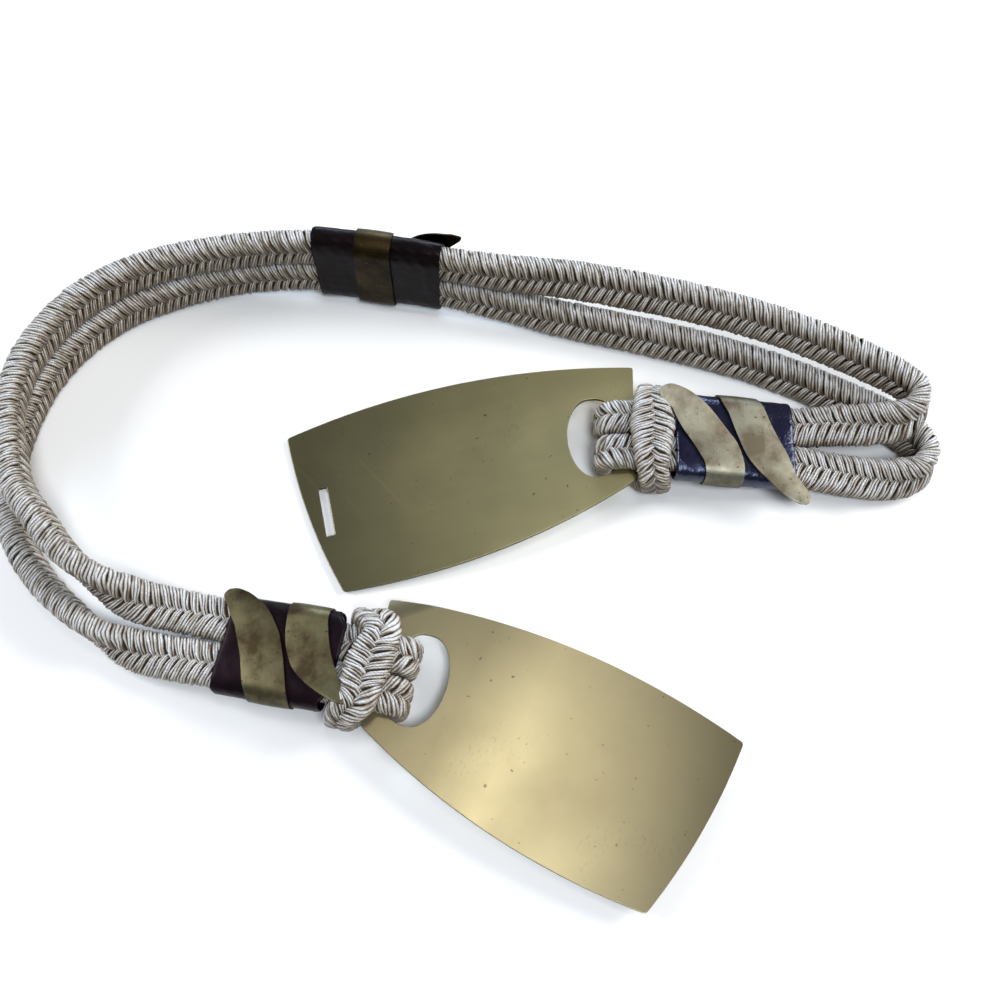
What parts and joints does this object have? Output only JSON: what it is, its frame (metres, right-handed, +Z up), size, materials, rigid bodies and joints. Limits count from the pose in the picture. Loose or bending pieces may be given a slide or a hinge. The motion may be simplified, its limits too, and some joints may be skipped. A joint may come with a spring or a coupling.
{
  "type": "braided cord waist belt",
  "caption": "Waist belt of paired braided cords with leather wraps and brass ribbons, ending in arched brass hook and slit plates.",
  "frame": {"origin": "under the middle of the box, on the surface that the belt lies on", "axes": "+Z up, +X to the right and +Y away from the viewer in the picture; the outer faces of both plates are up"},
  "size_m": [0.3076, 0.2194, 0.0334],
  "materials": {
    "plate_brass": "satin, finely scratched",
    "ribbon_brass": "aged and mottled",
    "braid": "glossy synthetic yarn, braided",
    "leather": "smooth and glossy"
  },
  "bodies": {
    "root": {"plate_a": "plate_brass", "plate_b": "plate_brass", "cord_top": "braid", "cord_bottom": "braid", "hitch_a": "braid", "hitch_b": "braid", "wrap_a": "leather", "wrap_b": "leather", "wrap_back": "leather", "ribbon_a": "ribbon_brass", "ribbon_b": "ribbon_brass", "ribbon_back": "ribbon_brass"}
  },
  "joints": []
}
